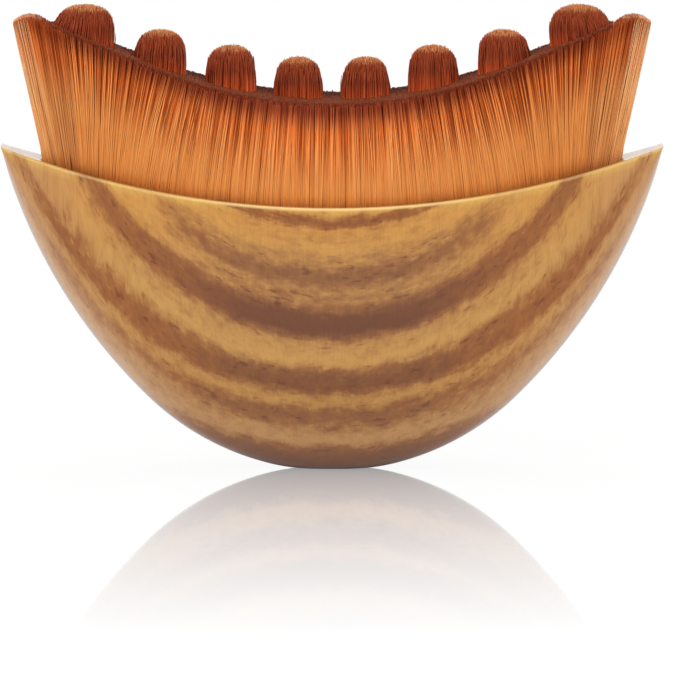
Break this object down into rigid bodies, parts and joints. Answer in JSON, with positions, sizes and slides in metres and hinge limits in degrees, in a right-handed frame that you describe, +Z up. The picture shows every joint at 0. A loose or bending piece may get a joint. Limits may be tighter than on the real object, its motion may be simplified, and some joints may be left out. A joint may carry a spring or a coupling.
{
  "type": "body dry brush",
  "caption": "Palm-held dry brush: half-moon wooden handle with a dense, fanned fibre head that has a hollow plateau and a central row of round-tipped tufts.",
  "frame": {"origin": "middle of the small flat foot under the handle, on the surface the brush stands on", "axes": "+X along the width towards the right tip, +Y towards the back, +Z up through the fibre tips"},
  "size_m": [0.09, 0.028, 0.0635],
  "materials": {
    "wood": "gloss",
    "cup_plastic": "satin",
    "resin": "gloss",
    "bed_fibre": "satin",
    "tuft_fibre": "satin"
  },
  "bodies": {
    "root": {"handle": "wood", "root_cup": "cup_plastic", "resin_bed": "resin", "fibre_bed": "bed_fibre", "finger_tuft_1": "tuft_fibre", "finger_tuft_2": "tuft_fibre", "finger_tuft_3": "tuft_fibre", "finger_tuft_4": "tuft_fibre", "finger_tuft_5": "tuft_fibre", "finger_tuft_6": "tuft_fibre", "finger_tuft_7": "tuft_fibre", "finger_tuft_8": "tuft_fibre", "end_tuft_left": "bed_fibre", "end_tuft_right": "bed_fibre"}
  },
  "joints": []
}
